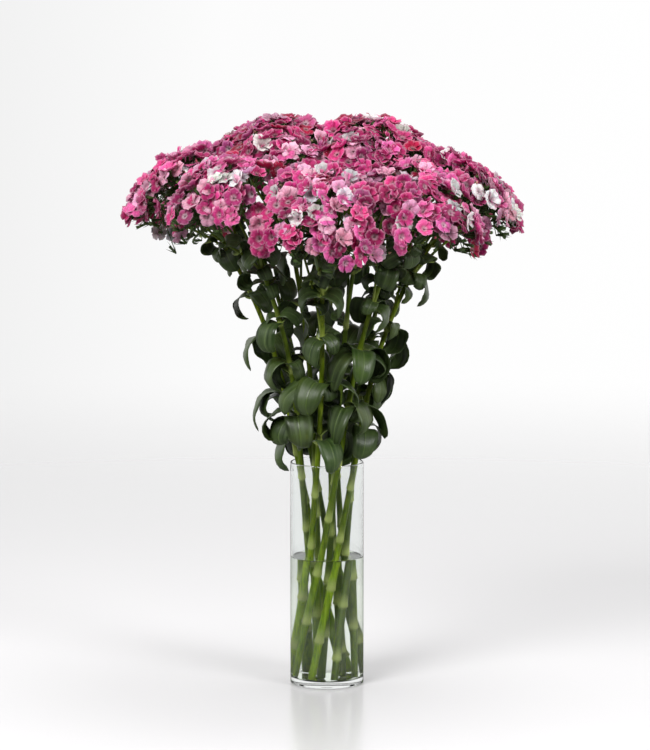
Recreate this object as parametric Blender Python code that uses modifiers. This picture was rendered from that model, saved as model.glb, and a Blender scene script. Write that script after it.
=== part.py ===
"""A bunch of cut sweet william standing in a clear glass cylinder vase of water.

Eleven leafy stems cross under water, fan out over the rim and branch. Each carries one broad head
made of four sprays of five-petalled florets, and the heads together make a shallow dome.
Metres, +Z up. The origin is the middle of the vase's underside, and the front is at -Y.
"""

import math
import random

import bmesh
import bpy
import numpy as np
from mathutils import Matrix, Vector
from mathutils.bvhtree import BVHTree

# Vase and water
VASE_RADIUS = 0.050
VASE_HEIGHT = 0.305
VASE_WALL = 0.0025
VASE_FLOOR = 0.009
VASE_CORNER = 0.003
VASE_LIP = 0.0008
VASE_HEEL = 0.0016
VASE_SIDES = 30
WATER_LEVEL = 0.174
HOLE_SIDES = 8
GAP = 0.0003
MERGE = 0.00001
SMOOTH_BELOW = math.radians(40.0)

# Dome of flowers: a cap of a sphere
DOME_RADIUS = 0.346
DOME_TOP = 0.774
DOME_CENTRE = Vector((0.0, 0.0, DOME_TOP - DOME_RADIUS))

# Each head: degrees round the vase from +X, degrees down from the dome's top, rise over the dome
HEADS = (
    (182.0, 37.5, 0.013),
    (226.0, 38.0, 0.008),
    (267.0, 40.0, -0.002),
    (308.0, 38.5, 0.002),
    (355.0, 37.5, 0.007),
    (40.0, 37.0, 0.000),
    (88.0, 38.0, 0.000),
    (136.0, 37.0, 0.008),
    (205.0, 15.5, 0.009),
    (330.0, 14.0, 0.006),
    (88.0, 15.0, 0.000),
)
OUTER_HEADS = 8

# Sprays of florets in a head
SPRAYS_ROUND = 3
SPRAY_SPREAD = math.radians(8.3)
SPRAY_HEIGHT = 0.047
SPRAY_SWING = 0.15
SPRAY_LIFTS = (-0.008, 0.002)
CORE_NECK = 0.0045
CORE_RADIUS = 0.0345
CORE_HEIGHT = 0.026
CORE_SIDES = 6
CORE_SHARE = 0.45

# Florets, larger than the real 24 mm so that fewer cover a head
PETALS = 5
FLORETS = 143
FLORET_RADIUS = 0.0265
FLORET_SIZES = (1.0, 0.92, 0.84, 0.76, 0.68, 0.6, 0.5)
NOTCH = 0.86
GOLDEN_ANGLE = math.radians(137.508)
DOME_EDGE = math.radians(56.0)
SIDE_LIFT = 0.05
SPIRAL_SWING = 0.03
SPRAY_SAG = 0.007
FLORET_DROP = 0.006
OTHER_HEAD = 0.6
HEART_HEIGHT = 0.012
ROOT_REACH = 0.009
FACING_OUT = 0.5
EYE_DEPTH = 0.0024
THROAT_DEPTH = 0.006
THROAT_RADIUS = 0.0030

# Stems
STEM_RADIUS = 0.0042
FORK_RADIUS = 0.0030
BRANCH_RADIUS = 0.0019
TIP_RADIUS = 0.0016
NODE_SWELL = 1.38
NODE_NECK = 0.005
NODE_PITCH = 0.071
NODE_STEPS = (0.92, 1.08)
FIRST_NODE = 0.3
FIRST_NODE_RANGE = 0.9
GOLDEN_SHARE = 0.618
FOOT_HEIGHT = VASE_FLOOR + 0.0013
OUTER_FOOT = 0.0385
OUTER_RIM = 0.0405
OUTER_TURN = math.radians(100.0)
INNER_FOOT = 0.0150
INNER_RIM = 0.0165
INNER_TURN = math.radians(70.0)
RIM_BEHIND = math.radians(16.0)
LOWER_BEND = 0.10
UPPER_BEND = 0.20
UPPER_POINTS = 24
FORK_BELOW = 0.105
FORK_SWELL = 1.2
BRANCH_BEND = 0.45
BRANCH_POINTS = 3

# Leaves
LEAF_LENGTH = 0.100
LEAF_WIDTH = 0.039
LEAF_THICKNESS = 0.0009
LEAF_SUNK = 0.0012
LEAF_ROWS = 4
ROW_CROWDING = 1.2
BRANCH_LEAF = 0.62
BRANCH_LEAF_AT = 0.42
LEAF_SWING = 0.3
TOP_LEAF = 0.75
LENGTH_RANGE = (0.85, 1.1)
WIDTH_RANGE = (0.88, 1.1)
RISE_RANGE = (40.0, 62.0)
BEND_RANGE = (95.0, 135.0)
CURL_RANGE = (-60.0, 140.0)
TWIST_RANGE = (-35.0, 35.0)
WIDEST_EARLY = 0.8
FULLNESS = 0.75
LEAF_FOLD = math.radians(14.0)
MIDRIB_STEPS = 12
ARCH_END = 0.6
LOWEST_LEAF = VASE_HEIGHT + 0.014
SHORT_LEAVES = 0.46
TURNS = (0, 24, -24, 48, -48, 72, -72, 96, -96)
SIZES = (1.0, 0.84, 0.68)

# Room that each leaf keeps to everything else
LEAF_CLEARANCE = 0.0075
STEM_CLEARANCE = 0.0040
NODE_ROOM = 0.026
STEM_SAMPLES = 0.004
BLADE_SAMPLES = 11
CORE_ROOM = 0.030
CORE_SAMPLES = (0.012, 0.022)
FLORET_CLEARANCE = 0.003
RIM_CLEARANCE = 0.006
RIM_SAMPLES = 60
RIM_RINGS = 5
SEED = 11


def clear_scene():
    for old in list(bpy.data.objects):
        bpy.data.objects.remove(old, do_unlink=True)


def material(name, colour, roughness):
    made = bpy.data.materials.new(name)
    made.use_nodes = True
    shader = made.node_tree.nodes["Principled BSDF"]
    shader.inputs["Base Color"].default_value = (*colour, 1.0)
    shader.inputs["Roughness"].default_value = roughness
    shader.inputs["Metallic"].default_value = 0.0
    return made


def new_collection(name):
    made = bpy.data.collections.new(name)
    bpy.context.scene.collection.children.link(made)
    return made


def object_from_bmesh(name, bm, collection):
    bmesh.ops.recalc_face_normals(bm, faces=bm.faces[:])
    mesh = bpy.data.meshes.new(name)
    bm.to_mesh(mesh)
    bm.free()
    made = bpy.data.objects.new(name, mesh)
    collection.objects.link(made)
    return made


def finish(made, finish_material):
    """One material all over, smooth where the faces meet at a small angle."""
    made.data.materials.clear()
    made.data.materials.append(finish_material)
    made.data.shade_smooth()
    made.data.set_sharp_from_angle(angle=SMOOTH_BELOW)


def turned(name, profile, sides, collection):
    """A closed body of revolution; the profile's two ends lie on the axis."""
    bm = bmesh.new()
    points = [bm.verts.new((x, 0.0, z)) for x, z in profile]
    for first, second in zip(points, points[1:]):
        bm.edges.new((first, second))
    mesh = bpy.data.meshes.new(name)
    bm.to_mesh(mesh)
    bm.free()
    made = bpy.data.objects.new(name, mesh)
    collection.objects.link(made)
    screw = made.modifiers.new("Screw", "SCREW")
    screw.steps = sides
    screw.render_steps = sides
    screw.use_merge_vertices = True
    screw.merge_threshold = MERGE
    apply_modifiers(made)
    return made


def apply_modifiers(made):
    bpy.context.view_layer.update()
    graph = bpy.context.evaluated_depsgraph_get()
    mesh = bpy.data.meshes.new_from_object(made.evaluated_get(graph))
    made.modifiers.clear()
    old = made.data
    made.data = mesh
    bpy.data.meshes.remove(old)


def tube(name, points, radii, sides, collection):
    """A closed tube with 4, 6 or 8 sides, its radius given at each point."""
    curve = bpy.data.curves.new(name, "CURVE")
    curve.dimensions = "3D"
    curve.bevel_depth = 1.0
    curve.bevel_resolution = sides // 2 - 2
    curve.use_fill_caps = True
    spline = curve.splines.new("POLY")
    spline.points.add(len(points) - 1)
    for spot, point, radius in zip(spline.points, points, radii):
        spot.co = (*point, 1.0)
        spot.radius = radius
    drawn = bpy.data.objects.new(name, curve)
    collection.objects.link(drawn)
    bpy.context.view_layer.update()
    graph = bpy.context.evaluated_depsgraph_get()
    mesh = bpy.data.meshes.new_from_object(drawn.evaluated_get(graph))
    bpy.data.objects.remove(drawn)
    bm = bmesh.new()
    bm.from_mesh(mesh)
    bpy.data.meshes.remove(mesh)
    bmesh.ops.remove_doubles(bm, verts=bm.verts[:], dist=MERGE)
    return object_from_bmesh(name, bm, collection)


def fuse(name, pieces, collection, scrap):
    """Joins the pieces into one closed body with one Boolean union on their collection."""
    body, others = pieces[0], pieces[1:]
    bunch = new_collection(name + "_pieces")
    for piece in others:
        scrap.objects.unlink(piece)
        bunch.objects.link(piece)
    scrap.objects.unlink(body)
    collection.objects.link(body)
    body.name = name
    join = body.modifiers.new("Union", "BOOLEAN")
    join.operation = "UNION"
    join.operand_type = "COLLECTION"
    join.collection = bunch
    join.solver = "MANIFOLD"
    apply_modifiers(body)
    for piece in list(bunch.objects):
        bpy.data.objects.remove(piece, do_unlink=True)
    bpy.data.collections.remove(bunch)
    return body


def vase(collection, glass):
    inner = VASE_RADIUS - VASE_WALL
    profile = [
        (0.0, VASE_FLOOR),
        (inner - VASE_CORNER, VASE_FLOOR),
        (inner, VASE_FLOOR + VASE_CORNER),
        (inner, VASE_HEIGHT - VASE_LIP),
        (inner + VASE_LIP, VASE_HEIGHT),
        (VASE_RADIUS - VASE_LIP, VASE_HEIGHT),
        (VASE_RADIUS, VASE_HEIGHT - VASE_LIP),
        (VASE_RADIUS, VASE_HEEL),
        (VASE_RADIUS - VASE_HEEL, 0.0),
        (0.0, 0.0),
    ]
    finish(turned("vase", profile, VASE_SIDES, collection), glass)


def water(stems, collection, cutters, clear):
    """A body with one plain hole for each stem; its lower edge follows the vase's round corner."""
    radius = VASE_RADIUS - VASE_WALL - GAP
    bottom = VASE_FLOOR + GAP
    bm = bmesh.new()
    bmesh.ops.create_cone(
        bm,
        cap_ends=True,
        segments=VASE_SIDES,
        radius1=radius,
        radius2=radius,
        depth=WATER_LEVEL - bottom,
    )
    bmesh.ops.translate(bm, verts=bm.verts[:], vec=(0, 0, (WATER_LEVEL + bottom) / 2))
    lower = [edge for edge in bm.edges if all(vert.co.z < bottom + GAP for vert in edge.verts)]
    bmesh.ops.bevel(
        bm, geom=lower, offset=VASE_CORNER, segments=1, profile=0.5, affect="EDGES", material=-1
    )
    made = object_from_bmesh("water", bm, collection)
    hole = (STEM_RADIUS * NODE_SWELL + GAP) / math.cos(math.pi / HOLE_SIDES)
    for number, plan in enumerate(stems, start=1):
        foot, rim = plan["route"][:2]
        rise = (rim - foot).normalized()
        past = VASE_FLOOR + FOOT_HEIGHT
        ends = [foot - rise * past, foot + rise * (WATER_LEVEL + past)]
        cutter = tube(f"hole_{number:02d}", ends, [hole, hole], HOLE_SIDES, cutters)
        cutter.hide_render = True
        cutter.display_type = "WIRE"
    cut = made.modifiers.new("Holes", "BOOLEAN")
    cut.operation = "DIFFERENCE"
    cut.operand_type = "COLLECTION"
    cut.collection = cutters
    cut.solver = "MANIFOLD"
    apply_modifiers(made)
    finish(made, clear)


def round_vase(radius, angle, height):
    return Vector((radius * math.cos(angle), radius * math.sin(angle), height))


def dome_direction(azimuth, polar):
    flat = math.sin(polar)
    return Vector((flat * math.cos(azimuth), flat * math.sin(azimuth), math.cos(polar)))


def head_plan(number):
    """The sprays of one head: for each its branch's end, the way it faces and its lift."""
    azimuth, polar, rise = HEADS[number]
    draw = random.Random(SEED + number)
    middle = dome_direction(math.radians(azimuth), math.radians(polar))
    side = middle.cross(Vector((0, 0, 1))).normalized()
    up = side.cross(middle).normalized()
    sprays = []
    phase = draw.uniform(0.0, math.tau / SPRAYS_ROUND)
    for index in range(SPRAYS_ROUND + 1):
        facing = middle.copy()
        lift = rise
        if index:
            turn = phase + math.tau * index / SPRAYS_ROUND + draw.uniform(-SPRAY_SWING, SPRAY_SWING)
            away = side * math.cos(turn) + up * math.sin(turn)
            facing = (middle * math.cos(SPRAY_SPREAD) + away * math.sin(SPRAY_SPREAD)).normalized()
            lift += draw.uniform(*SPRAY_LIFTS)
        top = DOME_CENTRE + facing * (DOME_RADIUS + lift)
        sprays.append({"end": top - facing * SPRAY_HEIGHT, "facing": facing, "lift": lift})
    return {"sprays": sprays, "florets": []}


def floret(plan, radius, scrap):
    """Five notched petals round a throat, on a neck that ends at the root inside the core."""
    bm = bmesh.new()
    bmesh.ops.create_circle(
        bm, cap_ends=True, cap_tris=True, segments=2 * PETALS, radius=radius
    )
    half_petal = math.pi / PETALS
    first_turn = Matrix.Rotation(half_petal / 2, 3, "Z")
    bmesh.ops.rotate(bm, verts=bm.verts[:], cent=(0, 0, 0), matrix=first_turn)
    rim = [edge for edge in bm.edges if edge.is_boundary]
    for vert in bm.verts:
        if vert.co.length < radius / 2:
            vert.co.z = -EYE_DEPTH
        elif round(math.atan2(vert.co.y, vert.co.x) / half_petal) % 2:
            vert.co *= NOTCH
            vert.co.z = -EYE_DEPTH / 2
    made = bmesh.ops.extrude_edge_only(bm, edges=rim)["geom"]
    neck = [item for item in made if isinstance(item, bmesh.types.BMVert)]
    neck_edges = [item for item in made if isinstance(item, bmesh.types.BMEdge)]
    for vert in neck:
        step = round(math.atan2(vert.co.y, vert.co.x) / half_petal)
        corner = 2 * half_petal * math.floor(step / 2)
        vert.co = (THROAT_RADIUS * math.cos(corner), THROAT_RADIUS * math.sin(corner), -THROAT_DEPTH)
    stand = plan["facing"].to_track_quat("Z", "Y").to_matrix().to_4x4()
    stand = Matrix.Translation(plan["middle"]) @ stand @ Matrix.Rotation(plan["spin"], 4, "Z")
    bmesh.ops.transform(bm, matrix=stand, verts=bm.verts[:])
    ends = bmesh.ops.extrude_edge_only(bm, edges=neck_edges)["geom"]
    for vert in (item for item in ends if isinstance(item, bmesh.types.BMVert)):
        vert.co = plan["root"]
    bmesh.ops.remove_doubles(bm, verts=bm.verts[:], dist=MERGE)
    return object_from_bmesh("floret", bm, scrap)


def core(spray, scrap):
    """The bundle of calyces at the end of a branch, which widens like a funnel."""
    bm = bmesh.new()
    bmesh.ops.create_cone(
        bm,
        cap_ends=True,
        segments=CORE_SIDES,
        radius1=CORE_NECK,
        radius2=spray["core"],
        depth=CORE_HEIGHT,
    )
    bmesh.ops.translate(bm, verts=bm.verts[:], vec=(0, 0, CORE_HEIGHT / 2 + GAP))
    stand = spray["facing"].to_track_quat("Z", "Y").to_matrix().to_4x4()
    bmesh.ops.transform(bm, matrix=Matrix.Translation(spray["end"]) @ stand, verts=bm.verts[:])
    return object_from_bmesh("core", bm, scrap)


def size_cores(plans):
    """Makes every core as wide as fits beside the nearest core of another head."""
    tops = [
        (number, spray, spray["end"] + spray["facing"] * CORE_HEIGHT)
        for number, plan in enumerate(plans) for spray in plan["sprays"]
    ]
    for number, spray, top in tops:
        nearest = min((other - top).length for owner, _, other in tops if owner != number)
        spray["core"] = min(CORE_RADIUS, nearest * CORE_SHARE)


def floret_places(plans):
    """Spreads the florets evenly over the dome, each for the spray whose top it is nearest to."""
    draw = random.Random(SEED * 7)
    cap = 1.0 - math.cos(DOME_EDGE)
    placed = []
    for index in range(FLORETS):
        polar = math.acos(1.0 - cap * (index + 0.5) / FLORETS)
        azimuth = GOLDEN_ANGLE * index + draw.uniform(-SPIRAL_SWING, SPIRAL_SWING)
        towards = dome_direction(azimuth, polar * (1.0 - SIDE_LIFT * math.cos(azimuth) ** 2))
        number, spray = max(
            ((number, spray) for number, plan in enumerate(plans) for spray in plan["sprays"]),
            key=lambda pair: pair[1]["facing"].dot(towards),
        )
        away = spray["facing"].angle(towards) / SPRAY_SPREAD
        reach = DOME_RADIUS + spray["lift"] - SPRAY_SAG * away ** 2
        reach -= draw.uniform(0.0, FLORET_DROP)
        heart = spray["end"] + spray["facing"] * HEART_HEIGHT
        middle = DOME_CENTRE + towards * reach
        way = (middle - heart).normalized()
        placed.append((number, {
            "root": heart + way * ROOT_REACH,
            "middle": middle,
            "facing": way.lerp(towards, FACING_OUT).normalized(),
            "radius": FLORET_RADIUS * draw.uniform(0.95, 1.0),
            "spin": draw.uniform(0.0, math.tau),
        }))
    for number, new in placed:
        others = [(old["middle"] - new["middle"]).length for owner, old in placed if owner != number]
        new["radius"] = min(new["radius"], min(others) * OTHER_HEAD)
        plans[number]["florets"].append(new)


def shape_of(piece):
    bm = bmesh.new()
    bm.from_mesh(piece.data)
    tree = BVHTree.FromBMesh(bm)
    bm.free()
    return tree


def clear_floret(plan, others, scrap):
    """The floret, made smaller until it crosses nothing of another head."""
    for size in FLORET_SIZES:
        piece = floret(plan, plan["radius"] * size, scrap)
        shape = shape_of(piece)
        if not any(shape.overlap(other) for other in others):
            return piece
        bpy.data.objects.remove(piece, do_unlink=True)
    return None


def add_heads(plans, collection, scrap, petal):
    """Every head is its cores and florets in one body, clear of the heads beside it."""
    cores = [[core(spray, scrap) for spray in plan["sprays"]] for plan in plans]
    shapes = [(number, shape_of(piece)) for number, bunch in enumerate(cores) for piece in bunch]
    for number, plan in enumerate(plans):
        others = [shape for owner, shape in shapes if owner != number]
        florets = [clear_floret(new, others, scrap) for new in plan["florets"]]
        florets = [piece for piece in florets if piece]
        shapes += [(number, shape_of(piece)) for piece in florets]
        finish(fuse(f"head_{number + 1:02d}", cores[number] + florets, collection, scrap), petal)


def curve_through(start, start_way, end, end_way, count):
    """Points on a cubic curve that leaves and arrives in the given ways; both ways hold a length."""
    first = start + start_way
    last = end - end_way
    points = []
    for index in range(count + 1):
        t = index / count
        u = 1.0 - t
        points.append(
            start * u ** 3 + first * 3 * u * u * t + last * 3 * u * t * t + end * t ** 3
        )
    return points


def along(points, distance):
    """The point and the direction at a distance along a line of points."""
    for first, second in zip(points, points[1:]):
        step = (second - first).length
        if distance <= step or second is points[-1]:
            way = (second - first).normalized()
            return first + way * min(distance, step), way
        distance -= step


def line_length(points):
    return sum((second - first).length for first, second in zip(points, points[1:]))


def stem_plan(number, plan):
    """The route of one stem, its nodes from the foot up, and its branches to the sprays."""
    azimuth = math.radians(HEADS[number][0])
    outer = number < OUTER_HEADS
    turn = OUTER_TURN if outer else INNER_TURN
    rim_angle = azimuth - RIM_BEHIND
    foot = round_vase(OUTER_FOOT if outer else INNER_FOOT, rim_angle - turn, FOOT_HEIGHT)
    rim = round_vase(OUTER_RIM if outer else INNER_RIM, rim_angle, VASE_HEIGHT)
    rise = (rim - foot).normalized()
    top = plan["sprays"][0]["end"]
    facing = plan["sprays"][0]["facing"]
    route = [foot]
    route += curve_through(rim, rise * LOWER_BEND, top, facing * UPPER_BEND, UPPER_POINTS)
    length = line_length(route)
    draw = random.Random(SEED * 3 + number)
    distance = NODE_PITCH * (FIRST_NODE + FIRST_NODE_RANGE * (number * GOLDEN_SHARE % 1.0))
    nodes = []
    while distance < length - FORK_BELOW:
        spot, way = along(route, distance)
        nodes.append({"distance": distance, "spot": spot, "way": way})
        distance += NODE_PITCH * draw.uniform(*NODE_STEPS)
    branches = []
    for index, spray in enumerate(plan["sprays"][1:]):
        fork = nodes[-1] if index < 2 else nodes[-2]
        across = spray["end"] - fork["spot"]
        reach = across.length * BRANCH_BEND
        leave = (fork["way"] + across.normalized()).normalized() * reach
        arrive = spray["facing"] * reach
        branches.append(curve_through(fork["spot"], leave, spray["end"], arrive, BRANCH_POINTS))
    return {"route": route, "length": length, "nodes": nodes, "branches": branches, "leaves": []}


def stem_radius(plan, distance):
    fork = plan["nodes"][-1]["distance"]
    if distance < fork:
        return STEM_RADIUS + (FORK_RADIUS - STEM_RADIUS) * distance / fork
    past = (distance - fork) / (plan["length"] - fork)
    start = BRANCH_RADIUS * FORK_SWELL
    return start + (TIP_RADIUS - start) * past


def main_stem(plan, scrap):
    """The stem is widest just over each node and narrows up to the next."""
    points = [plan["route"][0]]
    radii = [STEM_RADIUS]
    for node in plan["nodes"]:
        radius = stem_radius(plan, node["distance"])
        points += [node["spot"] - node["way"] * NODE_NECK, node["spot"]]
        radii += [radius, radius * NODE_SWELL]
    last = plan["nodes"][-1]["distance"]
    for share in (0.5, 1.0):
        distance = last + (plan["length"] - last) * share
        points.append(along(plan["route"], distance)[0])
        radii.append(stem_radius(plan, distance))
    return tube("stem", points, radii, 6, scrap)


def branch(points, scrap):
    radii = np.linspace(BRANCH_RADIUS, TIP_RADIUS, len(points))
    return tube("branch", points, radii, 4, scrap)


def leaf_line(leaf):
    """The midrib, stepped out from the base: it rises, arches over and hangs."""
    spots = [Vector((0.0, 0.0))]
    for step in range(MIDRIB_STEPS):
        t = (step + 0.5) / MIDRIB_STEPS
        now = leaf["rise"] - leaf["bend"] * (1.0 - math.cos(math.pi * min(1.0, t / ARCH_END))) / 2
        now -= leaf["curl"] * max(0.0, t - ARCH_END)
        pace = leaf["length"] / MIDRIB_STEPS
        spots.append(spots[-1] + Vector((math.cos(now), math.sin(now))) * pace)
    return spots


def leaf_point(leaf, t, s):
    """A point of the blade: t runs from base to tip, s from one edge to the other."""
    step = min(int(t * MIDRIB_STEPS), MIDRIB_STEPS - 1)
    first, second = leaf["line"][step], leaf["line"][step + 1]
    spot = first.lerp(second, t * MIDRIB_STEPS - step)
    slope = (second - first).normalized()
    full = max(0.0, math.sin(math.pi * t ** WIDEST_EARLY)) ** FULLNESS
    half = leaf["width"] / 2 * full
    roll = leaf["twist"] * t
    across = s * half * math.cos(LEAF_FOLD)
    lift = abs(s) * half * math.sin(LEAF_FOLD)
    sideways = across * math.cos(roll) - lift * math.sin(roll)
    raised = across * math.sin(roll) + lift * math.cos(roll)
    out = spot.x - raised * slope.y
    up = spot.y + raised * slope.x
    return leaf["base"] + leaf["out"] * out + leaf["side"] * sideways + leaf["up"] * up


def leaf_samples(leaf):
    """Points all over the outer part of the blade."""
    return np.array([
        leaf_point(leaf, row / BLADE_SAMPLES, side)
        for row in range(2, BLADE_SAMPLES + 1)
        for side in (-1.0, -0.5, 0.0, 0.5, 1.0)
    ])


def leaf_solid(leaf, scrap):
    bm = bmesh.new()
    bmesh.ops.create_grid(bm, x_segments=2, y_segments=leaf["rows"], size=1.0)
    for vert in bm.verts:
        s, t = vert.co.x, (vert.co.y + 1) / 2
        vert.co = leaf_point(leaf, t ** ROW_CROWDING, s)
    bmesh.ops.remove_doubles(bm, verts=bm.verts[:], dist=MERGE)
    bmesh.ops.triangulate(bm, faces=bm.faces[:])
    bmesh.ops.solidify(bm, geom=bm.faces[:], thickness=LEAF_THICKNESS)
    return object_from_bmesh("leaf", bm, scrap)


class Room:
    """What already stands in the space above the vase, as points with the clearance each needs."""

    def __init__(self):
        self.points = np.empty((0, 3))
        self.clearance = np.empty(0)
        self.owner = np.empty(0, int)

    def fill(self, points, clearance, owner=-1):
        self.points = np.vstack([self.points, points])
        self.clearance = np.append(self.clearance, np.full(len(points), clearance))
        self.owner = np.append(self.owner, np.full(len(points), owner))

    def fits(self, points, base, owner):
        """Whether points clear everything but the owner's own stem close to the leaf's base."""
        low, high = points.min(0) - 0.03, points.max(0) + 0.03
        near = np.all((self.points > low) & (self.points < high), axis=1)
        far = np.linalg.norm(self.points - np.array(base), axis=1) > NODE_ROOM
        near &= far | (self.owner != owner)
        gaps = np.linalg.norm(points[:, None] - self.points[None, near], axis=2)
        return not (gaps < self.clearance[near]).any()


def fill_with_stems(room, stems):
    for number, plan in enumerate(stems):
        for line in [plan["route"]] + plan["branches"]:
            count = int(line_length(line) / STEM_SAMPLES)
            spots = [along(line, STEM_SAMPLES * index)[0] for index in range(count + 1)]
            room.fill(np.array(spots), STEM_RADIUS + STEM_CLEARANCE, number)


def fill_with_heads(room, heads):
    for plan in heads:
        for spray in plan["sprays"]:
            spots = [spray["end"] + spray["facing"] * height for height in CORE_SAMPLES]
            room.fill(np.array(spots), CORE_ROOM)
        for new in plan["florets"]:
            room.fill(np.array([new["middle"]]), new["radius"] + FLORET_CLEARANCE)


def fill_with_rim(room):
    middle = VASE_RADIUS - VASE_WALL / 2
    for ring in range(RIM_RINGS):
        height = VASE_HEIGHT - RIM_CLEARANCE * ring
        turns = np.linspace(0.0, math.tau, RIM_SAMPLES, endpoint=False)
        spots = [round_vase(middle, turn, height) for turn in turns]
        room.fill(np.array(spots), RIM_CLEARANCE)


def leaf_pair_plans(spot, way, turn, size, draw):
    """Two leaves opposite each other at a node, arching out and over."""
    plans = []
    across = way.orthogonal().normalized()
    for half_turn in (0.0, math.pi):
        out = Matrix.Rotation(turn + half_turn, 3, way) @ across
        plans.append({
            "base": spot - out * LEAF_SUNK,
            "out": out,
            "side": way.cross(out),
            "up": way,
            "length": LEAF_LENGTH * size * draw.uniform(*LENGTH_RANGE),
            "width": LEAF_WIDTH * size * draw.uniform(*WIDTH_RANGE),
            "rise": math.radians(draw.uniform(*RISE_RANGE)),
            "bend": math.radians(draw.uniform(*BEND_RANGE)),
            "curl": math.radians(draw.uniform(*CURL_RANGE)),
            "twist": math.radians(draw.uniform(*TWIST_RANGE)),
            "rows": LEAF_ROWS,
        })
    return plans


def bent_clear(leaf, room, owner):
    """Turns the leaf about its stem, then makes it smaller, until nothing is in its way."""
    for size in SIZES:
        for turn in TURNS:
            swing = Matrix.Rotation(math.radians(turn), 3, leaf["up"])
            tried = dict(leaf)
            tried["out"] = swing @ leaf["out"]
            tried["side"] = swing @ leaf["side"]
            tried["length"] = leaf["length"] * size
            tried["width"] = leaf["width"] * size
            tried["line"] = leaf_line(tried)
            samples = leaf_samples(tried)
            if room.fits(samples, leaf["base"], owner):
                room.fill(samples, LEAF_CLEARANCE)
                return tried
    return None


def leaf_plans(stems, heads):
    """The leaves of every stem, lowest nodes first, each bent clear of all that stands by then."""
    room = Room()
    fill_with_stems(room, stems)
    fill_with_heads(room, heads)
    fill_with_rim(room)
    wanted = []
    for number, plan in enumerate(stems):
        draw = random.Random(SEED * 5 + number)
        phase = draw.uniform(0.0, math.pi)
        for index, node in enumerate(plan["nodes"]):
            turn = phase + math.pi / 2 * index + draw.uniform(-LEAF_SWING, LEAF_SWING)
            size = 1.0 + (TOP_LEAF - 1.0) * index / len(plan["nodes"])
            pair = leaf_pair_plans(node["spot"], node["way"], turn, size, draw)
            if node["spot"].z > SHORT_LEAVES:
                for leaf in pair:
                    leaf["rows"] = LEAF_ROWS - 1
            if node["spot"].z > LOWEST_LEAF:
                wanted += [(number, leaf) for leaf in pair]
        for line in plan["branches"][1:]:
            spot, way = along(line, line_length(line) * BRANCH_LEAF_AT)
            pair = leaf_pair_plans(spot, way, draw.uniform(0, math.pi), BRANCH_LEAF, draw)
            pair[0]["rows"] = LEAF_ROWS - 1
            wanted.append((number, pair[0]))
    wanted.sort(key=lambda pair: pair[1]["base"].z)
    for number, leaf in wanted:
        clear = bent_clear(leaf, room, number)
        if clear:
            stems[number]["leaves"].append(clear)


def stem(number, plan, collection, scrap, green):
    pieces = [main_stem(plan, scrap)]
    pieces += [branch(points, scrap) for points in plan["branches"]]
    pieces += [leaf_solid(leaf, scrap) for leaf in plan["leaves"]]
    finish(fuse(f"stem_{number + 1:02d}", pieces, collection, scrap), green)


def main():
    clear_scene()
    bouquet = new_collection("sweet_william_vase")
    cutters = new_collection("cutters")
    loose = new_collection("loose_pieces")
    heads = [head_plan(number) for number in range(len(HEADS))]
    size_cores(heads)
    floret_places(heads)
    stems = [stem_plan(number, plan) for number, plan in enumerate(heads)]
    leaf_plans(stems, heads)
    vase(bouquet, material("clear_glass", (0.95, 0.98, 0.97), 0.02))
    water(stems, bouquet, cutters, material("water", (0.90, 0.96, 0.94), 0.02))
    green = material("stem_green", (0.10, 0.22, 0.05), 0.45)
    for number, plan in enumerate(stems):
        stem(number, plan, bouquet, loose, green)
    add_heads(heads, bouquet, loose, material("petal_pink", (0.80, 0.16, 0.42), 0.60))


main()
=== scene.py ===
import random
from math import acos, atan2, cos, degrees, exp, pi, radians, sin, tan, tau

import bmesh
import bpy
import numpy as np
from mathutils import Matrix, Vector


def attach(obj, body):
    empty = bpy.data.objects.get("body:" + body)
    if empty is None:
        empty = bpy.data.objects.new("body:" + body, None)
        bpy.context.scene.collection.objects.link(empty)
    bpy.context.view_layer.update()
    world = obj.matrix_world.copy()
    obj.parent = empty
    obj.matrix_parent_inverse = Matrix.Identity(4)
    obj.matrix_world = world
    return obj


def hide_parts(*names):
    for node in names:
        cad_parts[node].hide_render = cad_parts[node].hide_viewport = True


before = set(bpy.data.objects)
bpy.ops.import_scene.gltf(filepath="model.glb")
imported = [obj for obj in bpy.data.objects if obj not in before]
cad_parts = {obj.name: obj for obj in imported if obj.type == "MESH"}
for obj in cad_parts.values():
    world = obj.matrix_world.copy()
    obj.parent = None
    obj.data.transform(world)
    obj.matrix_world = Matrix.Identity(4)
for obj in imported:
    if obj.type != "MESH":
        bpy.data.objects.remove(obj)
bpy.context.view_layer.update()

print("frame loaded:", len(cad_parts), "nodes")


# The glass, the dome of flowers and the stems, with the same sizes and rules as the solids

glassSizes = {
    "radius": 0.050, "height": 0.305, "wall": 0.0025, "floor": 0.009, "corner": 0.003,
    "heel": 0.0016, "waterLevel": 0.174,
}

dome = {
    "radius": 0.346, "middle": Vector((0.0, 0.0, 0.774 - 0.346)),
    "edge": radians(56.0), "sideLift": 0.05,
    "goldenAngle": radians(137.508), "seed": 11,
}

headPlaces = (           # degrees round the glass, degrees down from the top, rise over the dome
    (182.0, 37.5, 0.013),
    (226.0, 38.0, 0.008),
    (267.0, 40.0, -0.002),
    (308.0, 38.5, 0.002),
    (355.0, 37.5, 0.007),
    (40.0, 37.0, 0.000),
    (88.0, 38.0, 0.000),
    (136.0, 37.0, 0.008),
    (205.0, 15.5, 0.009),
    (330.0, 14.0, 0.006),
    (88.0, 15.0, 0.000),
)
outerHeads = 8

spraySizes = {
    "round": 3, "spread": radians(8.3), "height": 0.047, "swing": 0.15,
    "lifts": (-0.008, 0.002), "sag": 0.007, "heart": 0.012,
}

bigFlorets = {           # the solids' florets, which the leaves keep clear of
    "count": 143, "radius": 0.0265, "sizes": (0.95, 1.0), "swing": 0.03, "drop": 0.006,
    "otherHead": 0.6,
}

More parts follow.
